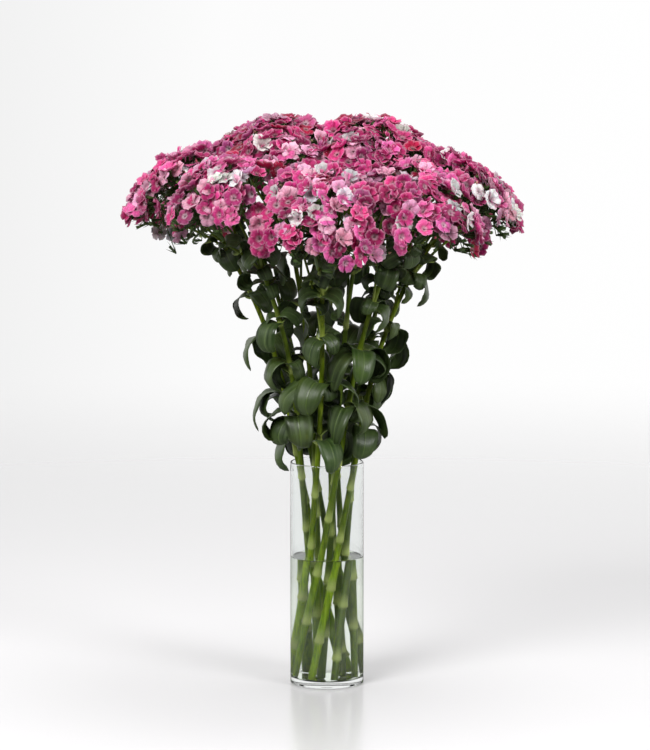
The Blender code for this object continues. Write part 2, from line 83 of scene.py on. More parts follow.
stemSizes = {
    "radius": 0.0042, "fork": 0.0030, "branch": 0.0019, "tip": 0.0016, "swell": 1.38,
    "pitch": 0.071, "steps": (0.92, 1.08), "first": 0.3, "firstRange": 0.9, "golden": 0.618,
    "foot": 0.009 + 0.0013,
    "outer": (0.0385, 0.0405, radians(100.0)),       # from the axis at its foot and at the rim,
    "inner": (0.0150, 0.0165, radians(70.0)),        # and the turn between the two
    "rimBehind": radians(16.0), "lowerBend": 0.10,
    "upperBend": 0.20, "upperPoints": 24, "forkBelow": 0.105, "forkSwell": 1.2,
    "branchBend": 0.45, "branchPoints": 3, "sides": 14, "branchSides": 8, "stout": 1.17,
}

leafSizes = {
    "length": 0.100, "width": 0.039, "sunk": 0.0012, "branchLeaf": 0.62, "branchAt": 0.42,
    "swing": 0.3, "top": 0.75, "lengths": (0.85, 1.1), "widths": (0.88, 1.1),
    "rise": (40.0, 62.0), "bend": (95.0, 135.0), "curl": (-60.0, 140.0), "twist": (-35.0, 35.0),
    "widestEarly": 0.8, "fullness": 0.75, "fold": radians(14.0), "steps": 12,
    "archEnd": 0.6, "lowest": 0.305 + 0.014,
    "turns": (0, 24, -24, 48, -48, 72, -72, 96, -96), "sizes": (1.0, 0.84, 0.68),
}

roomSizes = {            # what each leaf keeps clear of
    "leaf": 0.0075, "stem": 0.0040, "node": 0.026, "stemStep": 0.004, "bladeSteps": 11,
    "core": 0.030, "coreHeights": (0.012, 0.022), "floret": 0.003, "rim": 0.006,
    "rimSamples": 60, "rimRings": 5, "reach": 0.03,
}


def swung(draw, most):
    return draw.uniform(-most, most)


def roundGlass(radius, angle, height):
    return Vector((radius * cos(angle), radius * sin(angle), height))


def domeWay(azimuth, polar):
    flat = sin(polar)
    return Vector((flat * cos(azimuth), flat * sin(azimuth), cos(polar)))


def planHead(number):
    azimuth, polar, rise = headPlaces[number]
    draw = random.Random(dome["seed"] + number)
    middle = domeWay(radians(azimuth), radians(polar))
    side = middle.cross(Vector((0, 0, 1))).normalized()
    up = side.cross(middle).normalized()
    sprays = []
    phase = draw.uniform(0.0, tau / spraySizes["round"])
    for index in range(spraySizes["round"] + 1):
        facing = middle.copy()
        lift = rise
        if index:
            turn = phase + tau * index / spraySizes["round"] + swung(draw, spraySizes["swing"])
            away = side * cos(turn) + up * sin(turn)
            spread = spraySizes["spread"]
            facing = (middle * cos(spread) + away * sin(spread)).normalized()
            lift += draw.uniform(*spraySizes["lifts"])
        top = dome["middle"] + facing * (dome["radius"] + lift)
        sprays.append({"end": top - facing * spraySizes["height"], "facing": facing, "lift": lift})
    return {"sprays": sprays, "bigFlorets": [], "blooms": []}


def nearestSpray(heads, towards):
    choices = ((number, spray) for number, head in enumerate(heads) for spray in head["sprays"])
    return max(choices, key=lambda pair: pair[1]["facing"].dot(towards))


def spiralWay(index, count, swing, edge):
    share = (index + 0.5) / count
    polar = acos(1.0 - (1.0 - cos(edge)) * share)
    azimuth = dome["goldenAngle"] * index + swing
    return domeWay(azimuth, polar * (1.0 - dome["sideLift"] * cos(azimuth) ** 2))


def placeBigFlorets(heads):
    draw = random.Random(dome["seed"] * 7)
    placed = []
    for index in range(bigFlorets["count"]):
        swing = swung(draw, bigFlorets["swing"])
        towards = spiralWay(index, bigFlorets["count"], swing, dome["edge"])
        number, spray = nearestSpray(heads, towards)
        away = spray["facing"].angle(towards) / spraySizes["spread"]
        reach = dome["radius"] + spray["lift"] - spraySizes["sag"] * away ** 2
        reach -= draw.uniform(0.0, bigFlorets["drop"])
        radius = bigFlorets["radius"] * draw.uniform(*bigFlorets["sizes"])
        draw.uniform(0.0, tau)        # the solids turn each one, so the draws stay in step
        placed.append((number, dome["middle"] + towards * reach, radius))
    for number, middle, radius in placed:
        others = min((old - middle).length for owner, old, _ in placed if owner != number)
        heads[number]["bigFlorets"].append((middle, min(radius, others * bigFlorets["otherHead"])))


def curveThrough(start, startWay, end, endWay, count):
    first, last = start + startWay, end - endWay
    shares = [(index / count, 1.0 - index / count) for index in range(count + 1)]
    return [start * u ** 3 + first * 3 * u * u * t + last * 3 * u * t * t + end * t ** 3
            for t, u in shares]


def along(points, distance):
    for first, second in zip(points, points[1:]):
        step = (second - first).length
        if distance <= step or second is points[-1]:
            way = (second - first).normalized()
            return first + way * min(distance, step), way
        distance -= step


def lineLength(points):
    return sum((second - first).length for first, second in zip(points, points[1:]))


def planStem(number, head):
    footRadius, rimRadius, turn = stemSizes["outer" if number < outerHeads else "inner"]
    rimAngle = radians(headPlaces[number][0]) - stemSizes["rimBehind"]
    foot = roundGlass(footRadius, rimAngle - turn, stemSizes["foot"])
    rim = roundGlass(rimRadius, rimAngle, glassSizes["height"])
    rise = (rim - foot).normalized()
    top = head["sprays"][0]["end"]
    facing = head["sprays"][0]["facing"]
    route = [foot] + curveThrough(
        rim, rise * stemSizes["lowerBend"], top, facing * stemSizes["upperBend"],
        stemSizes["upperPoints"],
    )
    length = lineLength(route)
    draw = random.Random(dome["seed"] * 3 + number)
    share = number * stemSizes["golden"] % 1.0
    distance = stemSizes["pitch"] * (stemSizes["first"] + stemSizes["firstRange"] * share)
    nodes = []
    while distance < length - stemSizes["forkBelow"]:
        spot, way = along(route, distance)
        nodes.append({"distance": distance, "spot": spot, "way": way})
        distance += stemSizes["pitch"] * draw.uniform(*stemSizes["steps"])
    branches = []
    for index, spray in enumerate(head["sprays"][1:]):
        fork = nodes[-1] if index < 2 else nodes[-2]
        across = spray["end"] - fork["spot"]
        reach = across.length * stemSizes["branchBend"]
        leave = (fork["way"] + across.normalized()).normalized() * reach
        arrive = spray["facing"] * reach
        ends = (fork["spot"], leave, spray["end"], arrive)
        branches.append({"ends": ends, "line": curveThrough(*ends, stemSizes["branchPoints"])})
    return {"route": route, "length": length, "nodes": nodes, "branches": branches, "leaves": []}


def leafLine(leaf, steps):
    spots = [Vector((0.0, 0.0))]
    archEnd = leafSizes["archEnd"]
    for step in range(steps):
        t = (step + 0.5) / steps
        now = leaf["rise"] - leaf["bend"] * (1.0 - cos(pi * min(1.0, t / archEnd))) / 2
        now -= leaf["curl"] * max(0.0, t - archEnd)
        pace = leaf["length"] / steps
        spots.append(spots[-1] + Vector((cos(now), sin(now))) * pace)
    return spots


def onLeaf(leaf, t, across, lift):
    # a point off the leaf's middle line, rolled with the leaf
    steps = len(leaf["line"]) - 1
    step = min(int(t * steps), steps - 1)
    first, second = leaf["line"][step], leaf["line"][step + 1]
    spot = first.lerp(second, t * steps - step)
    slope = (second - first).normalized()
    roll = leaf["twist"] * t
    sideways = across * cos(roll) - lift * sin(roll)
    raised = across * sin(roll) + lift * cos(roll)
    out = spot.x - raised * slope.y
    up = spot.y + raised * slope.x
    return leaf["base"] + leaf["out"] * out + leaf["side"] * sideways + leaf["up"] * up


def halfWidth(leaf, t, fullness):
    wave = max(0.0, sin(pi * t ** leafSizes["widestEarly"]))
    return leaf["width"] / 2 * wave ** fullness


def leafPoint(leaf, t, s):
    half = halfWidth(leaf, t, leafSizes["fullness"])
    fold = leafSizes["fold"]
    return onLeaf(leaf, t, s * half * cos(fold), abs(s) * half * sin(fold))


def leafSamples(leaf):
    steps = roomSizes["bladeSteps"]
    return np.array([
        leafPoint(leaf, row / steps, side)
        for row in range(2, steps + 1)
        for side in (-1.0, -0.5, 0.0, 0.5, 1.0)
    ])


class Room:
    def __init__(self):
        self.points = np.empty((0, 3))
        self.clearance = np.empty(0)
        self.owner = np.empty(0, int)

    def fill(self, points, clearance, owner=-1):
        self.points = np.vstack([self.points, points])
        self.clearance = np.append(self.clearance, np.full(len(points), clearance))
        self.owner = np.append(self.owner, np.full(len(points), owner))

    def fits(self, points, base, owner, ease):
        low, high = points.min(0) - roomSizes["reach"], points.max(0) + roomSizes["reach"]
        near = np.all((self.points > low) & (self.points < high), axis=1)
        far = np.linalg.norm(self.points - np.array(base), axis=1) > roomSizes["node"]
        near &= far | (self.owner != owner)
        gaps = np.linalg.norm(points[:, None] - self.points[None, near], axis=2)
        return not (gaps < self.clearance[near] * ease).any()


def fillRoom(room, stems, heads):
    step = roomSizes["stemStep"]
    for number, stem in enumerate(stems):
        for line in [stem["route"]] + [branch["line"] for branch in stem["branches"]]:
            count = int(lineLength(line) / step)
            spots = [along(line, step * index)[0] for index in range(count + 1)]
            room.fill(spots, stemSizes["radius"] + roomSizes["stem"], number)
    for head in heads:
        for spray in head["sprays"]:
            spots = [spray["end"] + spray["facing"] * height for height in roomSizes["coreHeights"]]
            room.fill(spots, roomSizes["core"])
        for middle, radius in head["bigFlorets"]:
            room.fill([middle], radius + roomSizes["floret"])
    ringRadius = glassSizes["radius"] - glassSizes["wall"] / 2
    turns = np.linspace(0.0, tau, roomSizes["rimSamples"], endpoint=False)
    for ring in range(roomSizes["rimRings"]):
        height = glassSizes["height"] - roomSizes["rim"] * ring
        room.fill([roundGlass(ringRadius, turn, height) for turn in turns], roomSizes["rim"])


def drawnAngles(form, draw):
    return {key: radians(draw.uniform(*form[key])) for key in ("rise", "bend", "curl", "twist")}


def leafPair(spot, way, turn, size, draw):
    pair = []
    across = way.orthogonal().normalized()
    for halfTurn in (0.0, pi):
        out = Matrix.Rotation(turn + halfTurn, 3, way) @ across
        pair.append({
            "base": spot - out * leafSizes["sunk"],
            "out": out,
            "side": way.cross(out),
            "up": way,
            "length": leafSizes["length"] * size * draw.uniform(*leafSizes["lengths"]),
            "width": leafSizes["width"] * size * draw.uniform(*leafSizes["widths"]),
            **drawnAngles(leafSizes, draw),
        })
    return pair


def bentClear(leaf, room, owner, ease=1.0):
    for size in leafSizes["sizes"]:
        for turn in leafSizes["turns"]:
            swing = Matrix.Rotation(radians(turn), 3, leaf["up"])
            tried = dict(
                leaf, out=swing @ leaf["out"], side=swing @ leaf["side"],
                length=leaf["length"] * size, width=leaf["width"] * size,
            )
            tried["line"] = leafLine(tried, leafSizes["steps"])
            samples = leafSamples(tried)
            if room.fits(samples, leaf["base"], owner, ease):
                room.fill(samples, roomSizes["leaf"])
                return tried
    return None


def planLeaves(stems, heads, room):
    fillRoom(room, stems, heads)
    wanted = []
    for number, stem in enumerate(stems):
        draw = random.Random(dome["seed"] * 5 + number)
        phase = draw.uniform(0.0, pi)
        for index, node in enumerate(stem["nodes"]):
            turn = phase + pi / 2 * index + swung(draw, leafSizes["swing"])
            size = 1.0 + (leafSizes["top"] - 1.0) * index / len(stem["nodes"])
            pair = leafPair(node["spot"], node["way"], turn, size, draw)
            if node["spot"].z > leafSizes["lowest"]:
                wanted += [(number, leaf) for leaf in pair]
        for branch in stem["branches"][1:]:
            line = branch["line"]
            spot, way = along(line, lineLength(line) * leafSizes["branchAt"])
            pair = leafPair(spot, way, draw.uniform(0, pi), leafSizes["branchLeaf"], draw)
            wanted.append((number, pair[0]))
    wanted.sort(key=lambda pair: pair[1]["base"].z)
    for number, leaf in wanted:
        clear = bentClear(leaf, room, number)
        if clear:
            stems[number]["leaves"].append(clear)


shootSizes = {           # smaller leaves of the side shoots, which only the finished model has
    "size": (0.72, 0.96), "rise": 0.009, "ease": 0.42, "branchAt": ((0.27, 0.60), (0.62, 0.44)),
    "thinAbove": 0.47, "thinSize": 0.6, "seed": 77, "swing": 0.3, "branchSizes": (0.8, 1.2),
}


def planShoots(stems, room):
    draw = random.Random(shootSizes["seed"])
    for number, stem in enumerate(stems):
        wanted = []
        for index, node in enumerate(stem["nodes"]):
            if node["spot"].z < leafSizes["lowest"]:
                continue
            turn = draw.uniform(0.0, pi)
            spot = node["spot"] + node["way"] * shootSizes["rise"]
            high = spot.z > shootSizes["thinAbove"]
            for extra in (0.0, pi / 2 + swung(draw, shootSizes["swing"])):
                size = draw.uniform(*shootSizes["size"]) * (shootSizes["thinSize"] if high else 1.0)
                pair = leafPair(spot, node["way"], turn + extra, size, draw)
                if not (high and (extra or number >= outerHeads)):
                    wanted += pair
        for branch in stem["branches"] if number < outerHeads else ():
            for share, size in shootSizes["branchAt"]:
                spot, way = along(branch["line"], lineLength(branch["line"]) * share)
                size *= draw.uniform(*shootSizes["branchSizes"])
                wanted += leafPair(spot, way, draw.uniform(0, pi), size, draw)
        for leaf in wanted:
            clear = bentClear(leaf, room, number, shootSizes["ease"])
            if clear:
                stem["leaves"].append(clear)


heads = [planHead(number) for number in range(len(headPlaces))]
placeBigFlorets(heads)
stems = [planStem(number, head) for number, head in enumerate(heads)]
room = Room()
planLeaves(stems, heads, room)
planShoots(stems, room)
print("planned:", len(stems), "stems,", sum(len(stem["leaves"]) for stem in stems), "leaves")


# Small helpers for meshes and node trees

def aimed(spot, way):
    # the place of something that stands at spot with its z axis along way
    return Matrix.Translation(spot) @ way.to_track_quat("Z", "Y").to_matrix().to_4x4()


def turnsRound(count, swing, draw, phase=0.0):
    # angles spread all round, each swung a little
    for index in range(count):
        yield phase + tau * index / count + swung(draw, swing)


def meshFrom(bm, name):
    mesh = bpy.data.meshes.new(name)
    bm.to_mesh(mesh)
    bm.free()
    return mesh


def addObject(name, data):
    made = bpy.data.objects.new(name, data)
    bpy.context.scene.collection.objects.link(made)
    return made


def newPiece(name, bm, material, node):
    mesh = meshFrom(bm, name)
    mesh.materials.append(material)
    mesh.shade_smooth()
    piece = addObject(name, mesh)
    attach(piece, "root")
    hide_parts(node)
    return piece


def newSheet(uvName):
    # an empty mesh with the layers that leaf and petal materials read
    bm = bmesh.new()
    return bm, bm.loops.layers.uv.new(uvName), bm.verts.layers.float_color.new("tint")


def gridPlaces(bm, uv, columns, rows, shift=0.0, bendAt=None):
    # a flat grid, and where each corner is across (-1 to 1) and along (0 to 1), as its UV too
    bmesh.ops.create_grid(bm, x_segments=columns, y_segments=rows, size=1.0)
    places = {}
    for vert in bm.verts:
        t = (vert.co.y + 1) / 2
        places[vert] = (vert.co.x, bendAt if bendAt and 0.1 < t < 0.9 else t)
    for face in bm.faces:
        for loop in face.loops:
            across, t = places[loop.vert]
            loop[uv].uv = ((across + 1) / 2 + shift, t)
    return places


def stamp(bm, template, place, colours):
    # one more copy of a small mesh, moved to its place and given its own colours
    copy = template.copy()
    copy.transform(place)
    copy.attributes["tint"].data.foreach_set("color", colours)
    bm.from_mesh(copy)
    bpy.data.meshes.remove(copy)


def thicken(piece, thickness):
    walls = piece.modifiers.new("Thickness", "SOLIDIFY")
    walls.thickness = thickness
    walls.offset = 0.0


def setInputs(node, inputs):
    for key, value in inputs.items():
        node.inputs[key.replace("_", " ")].default_value = value


def newMaterial(name, **inputs):
    material = bpy.data.materials.new(name)
    material.use_nodes = True
    shader = material.node_tree.nodes["Principled BSDF"]
    setInputs(shader, inputs)
    return material, material.node_tree, shader


def addNode(tree, kind, settings=None, **inputs):
    made = tree.nodes.new("ShaderNode" + kind)
    for key, value in (settings or {}).items():
        setattr(made, key, value)
    setInputs(made, inputs)
    return made


def wire(source, target, socket=0, output=None):
    if output is None:           # a mix of colours gives its colour as its third output
        output = 2 if source.bl_idname == "ShaderNodeMix" else 0
    source.id_data.links.new(source.outputs[output], target.inputs[socket])


def feed(target, socket, value, output=None):
    # an input takes another node's output, a colour or a number
    if isinstance(value, bpy.types.Node):
        wire(value, target, socket, output)
    elif value is not None:
        target.inputs[socket].default_value = (*value, 1.0) if isinstance(value, tuple) else value


def attribute(tree, name):
    return addNode(tree, "Attribute", {"attribute_name": name})


def after(source, kind, output=None, settings=None, **inputs):
    # a node whose first input takes the source's output
    made = addNode(source.id_data, kind, settings, **inputs)
    wire(source, made, 0, output)
    return made


def objectNoise(tree, **inputs):
    return after(addNode(tree, "TexCoord"), "TexNoise", "Object", **inputs)


def bumpFrom(heights, shader, **inputs):
    made = addNode(shader.id_data, "Bump", **inputs)
    wire(heights, made, "Height")
    wire(made, shader, "Normal")


def ramp(source, stops, output=None):
    # each stop is a position with a colour, or with a number for a grey
    made = after(source, "ValToRGB", output)
    while len(made.color_ramp.elements) < len(stops):
        made.color_ramp.elements.new(0.5)
    for element, (position, colour) in zip(made.color_ramp.elements, stops):
        element.position = position
        element.color = (*(colour if isinstance(colour, tuple) else (colour,) * 3), 1.0)
    return made


def blend(factor, first, second, factorOutput=None, mode="MIX"):
    settings = {"data_type": "RGBA", "blend_type": mode, "clamp_result": True}
    made = addNode(first.id_data, "Mix", settings)
    feed(made, 0, factor, factorOutput)
    feed(made, 6, first)
    feed(made, 7, second)
    return made


def sums(operation, first, second=None, output=None):
    made = after(first, "Math", output, {"operation": operation})
    feed(made, 1, second)
    return made


def rescaled(source, output, limits, kind="LINEAR"):
    # 0 to 1 between the limits
    low, high = limits
    settings = {"interpolation_type": kind}
    return after(source, "MapRange", output, settings, From_Min=low, From_Max=high)


def mixShaders(factor, first, second):
    made = addNode(first.id_data, "MixShader")
    for socket, source in enumerate((factor, first, second)):
        wire(source, made, socket)
    return made


# Materials

petalColours = {         # name: colour, how often, how pale its eye is
    "pink": ((0.740, 0.050, 0.250), 33, 0.35),
    "rose": ((0.840, 0.125, 0.390), 22, 0.50),
    "pale": ((0.950, 0.430, 0.620), 22, 0.30),
    "magenta": ((0.480, 0.016, 0.145), 13, 0.30),
    "crimson": ((0.470, 0.004, 0.060), 6, 0.25),
    "cream": ((0.960, 0.930, 0.900), 8, 0.05),
}


def petalMaterial():
    material, tree, shader = newMaterial(
        "petals", Roughness=0.6, Specular_IOR_Level=0.22, Subsurface_Weight=0.15,
        Subsurface_Radius=(0.004, 0.0012, 0.002))
    tint = attribute(tree, "tint")
    split = after(addNode(tree, "UVMap", {"uv_map": "petal"}), "SeparateXYZ")
    mottle = objectNoise(tree, Scale=240.0, Detail=3.0)
    base = blend(0.8, tint, ramp(mottle, ((0.35, 0.70), (0.62, 1.0))), mode="MULTIPLY")
    veins = sums("SINE", sums("MULTIPLY", split, 58.0))
    veined = blend(0.7, base, ramp(veins, ((0.0, 0.80), (0.7, 1.0))), mode="MULTIPLY")
    inner = ramp(split, ((0.28, (0.66, 0.44, 0.52)), (0.66, 1.0)), "Y")
    deeper = blend(0.8, veined, inner, mode="MULTIPLY")
    rimmed = blend(ramp(split, ((0.80, 0.0), (1.0, 0.28)), "Y"), deeper, (0.98, 0.66, 0.80))
    eye = sums("MULTIPLY", ramp(split, ((0.10, 1.0), (0.20, 0.9), (0.34, 0.25), (0.44, 0.0)), "Y"))
    wire(tint, eye, 1, "Alpha")
    eyed = blend(eye, rimmed, (0.95, 0.80, 0.86))
    throat = sums("MULTIPLY", ramp(split, ((0.0, 1.0), (0.05, 0.8), (0.10, 0.0)), "Y"))
    wire(attribute(tree, "throat"), throat, 1, "Fac")
    wire(blend(throat, eyed, (0.050, 0.010, 0.014)), shader, "Base Color")
    bumpFrom(veins, shader, Strength=0.4, Distance=0.0003)
    return material


def calyxMaterial():
    material, tree, shader = newMaterial("calyces", Roughness=0.5, Specular_IOR_Level=0.35)
    shade = ramp(objectNoise(tree, Scale=110.0, Detail=4.0), (
        (0.30, (0.45, 0.42, 0.40)), (0.52, (0.85, 0.90, 0.80)), (0.72, (1.0, 0.80, 0.75))))
    wire(blend(1.0, attribute(tree, "tint"), shade, mode="MULTIPLY"), shader, "Base Color")
    bumpFrom(objectNoise(tree, Scale=900.0, Detail=2.0), shader, Strength=0.3, Distance=0.0003)
    return material


def stemMaterial():
    material, tree, shader = newMaterial("stemSkin", Specular_IOR_Level=0.2)
    spots = addNode(tree, "TexCoord")
    stretch = after(spots, "Mapping", "Object", Scale=(1.0, 1.0, 0.06))
    streaks = after(stretch, "TexNoise", Scale=420.0, Detail=4.0, Roughness=0.6)
    greens = ramp(streaks, (
        (0.30, (0.135, 0.265, 0.004)), (0.50, (0.350, 0.550, 0.010)),
        (0.70, (0.550, 0.730, 0.045))))
    height = after(spots, "SeparateXYZ", "Object")
    # painted light and shade by height: under the water the stems keep their full green, painted light
    # standing in for the light the glass holds back; above the water they are painted darker, painted
    # shade from the leaves over them
    paintedShadeAboveWater = ramp(height, ((0.165, 1.0), (0.21, 0.38), (0.33, 0.38), (0.56, (0.31, 0.28, 0.33))), "Z")
    shaded = blend(1.0, greens, paintedShadeAboveWater, mode="MULTIPLY")
    # painted shade: some stems are painted darker and duller, most of all the back and inner ones
    stemShaded = blend(attribute(tree, "stemShade"), shaded, (0.085, 0.140, 0.012), "Fac")
    # the pale knot rings are painted darker above the water too: painted shade
    knotPaleShadedAbove = ramp(height, ((0.165, (0.590, 0.690, 0.200)), (0.21, (0.440, 0.530, 0.140))), "Z")
    wire(blend(attribute(tree, "knot"), stemShaded, knotPaleShadedAbove, "Fac"), shader, "Base Color")
    wire(ramp(streaks, ((0.3, 0.34), (0.7, 0.5))), shader, "Roughness")
    bumpFrom(streaks, shader, Strength=0.25, Distance=0.0006)
    return material


def leafMaterial():
    material, tree, shader = newMaterial("leafBlade", Specular_IOR_Level=0.5)
    place = addNode(tree, "UVMap", {"uv_map": "blade"})
    split = after(place, "SeparateXYZ")
    patches = objectNoise(tree, Scale=38.0, Detail=4.0)
    greens = ramp(patches, (
        (0.30, (0.013, 0.027, 0.005)), (0.52, (0.029, 0.055, 0.010)),
        (0.72, (0.060, 0.096, 0.018))))
    tint = attribute(tree, "tint")
    tinted = blend(1.0, greens, tint, mode="MULTIPLY")
    # each leaf has its own tint, and so its own streaks
    moved = after(tint, "VectorMath", None, {"operation": "MULTIPLY_ADD"})
    moved.inputs[1].default_value = (31.0, 17.0, 0.0)
    wire(after(place, "Mapping", Scale=(7.5, 0.5, 1.0)), moved, 2)
    veins = after(moved, "TexNoise", Scale=1.0, Detail=3.0, Roughness=0.6)
    veined = blend(ramp(veins, ((0.40, 0.0), (0.64, 0.85))), tinted, (0.070, 0.108, 0.034))
    fromMid = sums("ABSOLUTE", sums("SUBTRACT", split, 0.5))
    rib = ramp(fromMid, ((0.0, 0.6), (0.014, 0.5), (0.04, 0.0)))
    ribbed = blend(rib, veined, (0.105, 0.165, 0.040))
    clasp = ramp(split, ((0.0, 1.0), (0.06, 0.85), (0.17, 0.0)), "Y")
    wire(blend(clasp, ribbed, (0.400, 0.520, 0.130)), shader, "Base Color")
    wire(ramp(veins, ((0.35, 0.34), (0.65, 0.52))), shader, "Roughness")
    bumpFrom(sums("ADD", veins, rib), shader, Strength=0.35, Distance=0.0008)
    return material


def glassMaterial():
    material, tree, shader = newMaterial(
        "vaseGlass", Base_Color=(0.965, 0.985, 0.975, 1.0), IOR=1.43, Transmission_Weight=1.0)
    smears = ramp(objectNoise(tree, Scale=24.0, Detail=5.0), ((0.45, 0.0), (0.8, 0.05)))
    wire(smears, shader, "Roughness")
    bumpFrom(objectNoise(tree, Scale=9.0, Detail=1.0), shader, Strength=0.15, Distance=0.0008)
    return material


def waterMaterial():
    material, tree, shader = newMaterial(
        "stillWater", Base_Color=(0.95, 0.98, 0.91, 1.0), Roughness=0.0, IOR=1.333,
        Transmission_Weight=1.0)
    bumpFrom(objectNoise(tree, Scale=30.0, Detail=1.0), shader, Strength=0.06, Distance=0.0006)
    return material


def floorMaterial():
    # the floor fades out all round and in front, and is dimmer where the glass mirrors it
    material, tree, shader = newMaterial(
        "paleFloor", Base_Color=studio["floorColour"], Roughness=0.22, Specular_IOR_Level=0.35)
    spots = addNode(tree, "TexCoord")
    away = after(spots, "VectorMath", "Object", {"operation": "LENGTH"})
    fadeRound = rescaled(away, "Value", studio["fadeRound"], "SMOOTHSTEP")
    across = after(spots, "SeparateXYZ", "Object")
    fadeFront = rescaled(across, "Y", studio["fadeFront"], "SMOOTHSTEP")
    seen = addNode(tree, "LightPath")
    byMirror = sums("MULTIPLY", seen, output="Is Glossy Ray")
    wire(seen, byMirror, 1, "Is Reflection Ray")
    dim = addNode(tree, "BsdfDiffuse", Color=studio["mirroredColour"])
    clear = addNode(tree, "BsdfTransparent")
    faded = mixShaders(
        sums("MAXIMUM", fadeRound, fadeFront), mixShaders(byMirror, shader, dim), clear)
    wire(faded, tree.nodes["Material Output"], "Surface")
    return material


# Vase and water

turnedSizes = {
    "steps": 120, "floorSteps": 6, "lipSteps": 10, "hold": 0.0006, "overlap": 0.0002,
    "dip": 0.0008,       # the blown floor is a little thinner in the middle
    "kick": 0.0012,      # and its underside a little hollow
    "meniscus": 0.0016, "climb": 0.006, "climbSteps": 8,
}


def spun(bm, profile):
    # a closed body of revolution from a profile whose two ends lie on the axis
    verts = [bm.verts.new((x, 0.0, z)) for x, z in profile]
    edges = [bm.edges.new(pair) for pair in zip(verts, verts[1:])]
    bmesh.ops.spin(
        bm, geom=verts + edges, cent=(0, 0, 0), axis=(0, 0, 1), dvec=(0, 0, 0),
        angle=tau, steps=turnedSizes["steps"], use_merge=True,
    )
    bmesh.ops.remove_doubles(bm, verts=bm.verts[:], dist=0.00001)
    bmesh.ops.recalc_face_normals(bm, faces=bm.faces[:])


def arc(centre, radius, start, end, steps):
    turns = [radians(start + (end - start) * index / steps) for index in range(steps + 1)]
    return [(centre[0] + radius * cos(a), centre[1] + radius * sin(a)) for a in turns]


def wallRings(radius, low, high):
    # rings close to both ends hold the wall's shading straight between them
    hold = turnedSizes["hold"]
    heights = (low + hold, low + hold * 3, high - hold * 3, high - hold)
    return [(radius, height) for height in heights]


def buildVase(glass):
    outer, wall = glassSizes["radius"], glassSizes["wall"]
    inner, corner = outer - wall, glassSizes["corner"]
    lip, heel = wall / 2, glassSizes["heel"]
    top, floor = glassSizes["height"], glassSizes["floor"]
    hold, dip, kick = turnedSizes["hold"], turnedSizes["dip"], turnedSizes["kick"]
    profile = [(0.0, floor - dip), (inner * 0.4, floor - dip), (inner * 0.8, floor - dip * 0.2)]
    profile += [(inner - corner - hold * 3, floor), (inner - corner - hold, floor)]
    profile += arc((inner - corner, floor + corner), corner, -90, 0, turnedSizes["floorSteps"])
    profile += wallRings(inner, floor + corner, top - lip)
    profile += arc((inner + lip, top - lip), lip, 180, 0, turnedSizes["lipSteps"])
    profile += wallRings(outer, heel, top - lip)[::-1]
    profile += arc((outer - heel, heel), heel, 0, -90, turnedSizes["floorSteps"])
    profile += [(outer - heel - hold, 0.0), (outer * 0.8, 0.0), (outer * 0.7, kick / 2), (0.0, kick)]
    bm = bmesh.new()
    spun(bm, profile)
    newPiece("vase_glass", bm, glass, "vase")


def buildWater(clear):
    inner = glassSizes["radius"] - glassSizes["wall"] + turnedSizes["overlap"]
    corner, climb = glassSizes["corner"], turnedSizes["climb"]
    floor = glassSizes["floor"] - turnedSizes["overlap"]
    level, rise = glassSizes["waterLevel"], turnedSizes["meniscus"]
    hold = turnedSizes["hold"]
    profile = [(0.0, level), (inner * 0.7, level)]
    for index in range(turnedSizes["climbSteps"] + 1):
        share = index / turnedSizes["climbSteps"]
        profile.append((inner - climb * (1.0 - share), level + rise * share ** 3))
    profile += wallRings(inner, floor + corner, level + rise)[::-1]
    profile += arc((inner - corner, floor + corner), corner, 0, -90, turnedSizes["floorSteps"])
    profile += [(inner - corner - hold, floor), (inner - corner - hold * 3, floor), (0.0, floor)]
    bm = bmesh.new()
    spun(bm, profile)
    newPiece("water_body", bm, clear, "water")


# Stems with their knots and branches

knotForm = {
    "below": 0.0045, "collar": 0.10, "rise": 0.0016, "fade": 0.0085,
    "pale": (-0.0015, 0.0005, 0.006, 0.020),
    "marks": (-0.006, -0.003, -0.0008, 0.0, 0.0012, 0.003, 0.006, 0.010, 0.016),
}

tubeForm = {
    "step": 0.012, "leastStep": 0.0007, "straightEnds": 0.02, "ease": 0.006, "branchSteps": 14,
    "branchRoot": 1.35, "paleRings": 3,
}


def stemRadius(stem, distance):
    fork = stem["nodes"][-1]["distance"]
    if distance < fork:
        base = stemSizes["radius"] * stemSizes["stout"]
        return base + (stemSizes["fork"] - base) * distance / fork
    past = (distance - fork) / (stem["length"] - fork)
    start = stemSizes["branch"] * stemSizes["forkSwell"]
    return start + (stemSizes["tip"] - start) * past


def knotSwell(above):
    # widest just over the knot's line, tapering up the stem; a thin collar just under it
    if above < 0.0:
        return 1.0 + knotForm["collar"] * max(0.0, 1.0 + above / knotForm["below"])
    rise = min(1.0, above / knotForm["rise"])
    tail = exp(-max(0.0, above - knotForm["rise"]) / knotForm["fade"])
    return 1.0 + (stemSizes["swell"] - 1.0) * rise * tail


def knotPaleness(above):
    start, full, keep, end = knotForm["pale"]
    if above < full:
        return max(0.0, (above - start) / (full - start))
    return min(1.0, max(0.0, (end - above) / (end - keep)))


